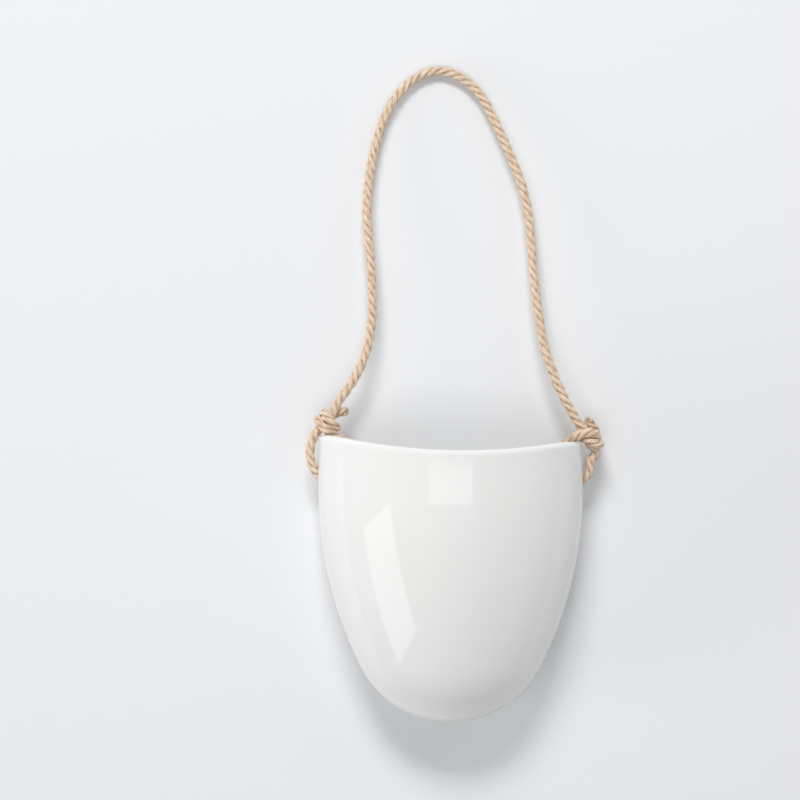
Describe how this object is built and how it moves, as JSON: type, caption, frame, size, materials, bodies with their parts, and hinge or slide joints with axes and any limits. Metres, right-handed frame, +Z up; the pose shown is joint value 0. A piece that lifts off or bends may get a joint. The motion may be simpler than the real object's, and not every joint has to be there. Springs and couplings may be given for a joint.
{
  "type": "wall planter",
  "caption": "White glazed half-egg wall pot with a flat back, hung from a hook on a jute rope that is tied through a hole in each side wall.",
  "frame": {"origin": "hanging point: the spot on the wall hook where the underside of the rope's crown rests", "axes": "+Z up, +X to the right as seen from the room, +Y into the wall, whose surface is the plane Y = 0"},
  "size_m": [0.1619, 0.074, 0.3531],
  "materials": {
    "glaze": "gloss",
    "jute": "matte"
  },
  "bodies": {
    "hanger": {"free_rope": "jute"},
    "pot": {"planter": "glaze", "left_hitch": "jute", "right_hitch": "jute"}
  },
  "joints": [
    {"name": "pot_swing", "type": "hinge", "parent": "hanger", "child": "pot", "pos_m": [-0.0538, -0.02, -0.1769], "axis": [-0.9998, -0.0032, 0.0201], "range_deg": [0, 60]}
  ]
}
